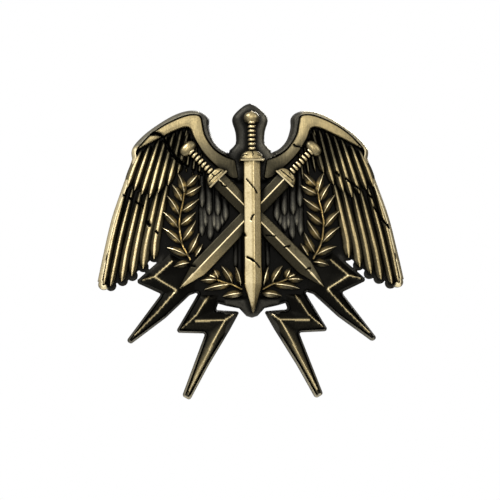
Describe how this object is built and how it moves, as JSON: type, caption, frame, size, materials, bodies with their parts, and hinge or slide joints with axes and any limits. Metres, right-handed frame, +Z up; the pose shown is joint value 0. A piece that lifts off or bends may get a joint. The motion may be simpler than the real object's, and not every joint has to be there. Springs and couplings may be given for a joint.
{
  "type": "cap badge",
  "caption": "Winged cap badge with crossed swords, laurel wreath and lightning bolts in antique brass relief, on posts with butterfly clutches.",
  "frame": {"origin": "on the back of the plate, midway between the two posts", "axes": "+Y out of the back along the posts, +Z up the badge, +X to the viewer's right from the front"},
  "size_m": [0.0562, 0.0141, 0.0542],
  "materials": {
    "plate": "blackened brass, rubbed grey at the lip",
    "fitting": "plain stamped brass",
    "spring": "thin spring brass",
    "wing_arm": "brushed antique brass",
    "feather": "antique brass, bright ridges over blackened grooves",
    "breast": "blackened brass, lightly rubbed",
    "bolt": "blackened brass, bright ridges",
    "laurel": "antique brass, rubbed ridges",
    "sword": "antique brass, rubbed bright"
  },
  "bodies": {
    "badge": {"back_plate": "plate", "left_post": "fitting", "right_post": "fitting", "locating_pegs": "fitting", "left_wing_arm": "wing_arm", "right_wing_arm": "wing_arm", "left_primary_feathers": "feather", "right_primary_feathers": "feather", "left_secondary_feathers": "feather", "right_secondary_feathers": "feather", "left_breast_feathers": "breast", "right_breast_feathers": "breast", "tail_feathers": "breast", "left_outer_bolt": "bolt", "right_outer_bolt": "bolt", "left_inner_bolt": "bolt", "right_inner_bolt": "bolt", "left_laurel_branch": "laurel", "right_laurel_branch": "laurel", "left_lower_sprig": "laurel", "right_lower_sprig": "laurel", "left_crossed_sword": "sword", "right_crossed_sword": "sword", "upright_sword": "sword"},
    "left_clutch": {"left_clutch_base": "fitting", "left_clutch_cover": "fitting"},
    "left_upper_wing": {"left_clutch_upper_wing": "spring"},
    "left_lower_wing": {"left_clutch_lower_wing": "spring"},
    "right_clutch": {"right_clutch_base": "fitting", "right_clutch_cover": "fitting"},
    "right_upper_wing": {"right_clutch_upper_wing": "spring"},
    "right_lower_wing": {"right_clutch_lower_wing": "spring"}
  },
  "joints": [
    {"name": "left_clutch_slide", "type": "slide", "parent": "badge", "child": "left_clutch", "axis": [0, 1, 0], "range_m": [-0.0021, 0.012]},
    {"name": "left_upper_squeeze", "type": "slide", "parent": "left_clutch", "child": "left_upper_wing", "axis": [0, 0, -1], "range_m": [0, 0.0006], "stiffness_N_per_m": 6000},
    {"name": "left_lower_squeeze", "type": "slide", "parent": "left_clutch", "child": "left_lower_wing", "axis": [0, 0, 1], "range_m": [0, 0.0006], "stiffness_N_per_m": 6000},
    {"name": "right_clutch_slide", "type": "slide", "parent": "badge", "child": "right_clutch", "axis": [0, 1, 0], "range_m": [-0.0021, 0.012]},
    {"name": "right_upper_squeeze", "type": "slide", "parent": "right_clutch", "child": "right_upper_wing", "axis": [0, 0, -1], "range_m": [0, 0.0006], "stiffness_N_per_m": 6000},
    {"name": "right_lower_squeeze", "type": "slide", "parent": "right_clutch", "child": "right_lower_wing", "axis": [0, 0, 1], "range_m": [0, 0.0006], "stiffness_N_per_m": 6000}
  ]
}
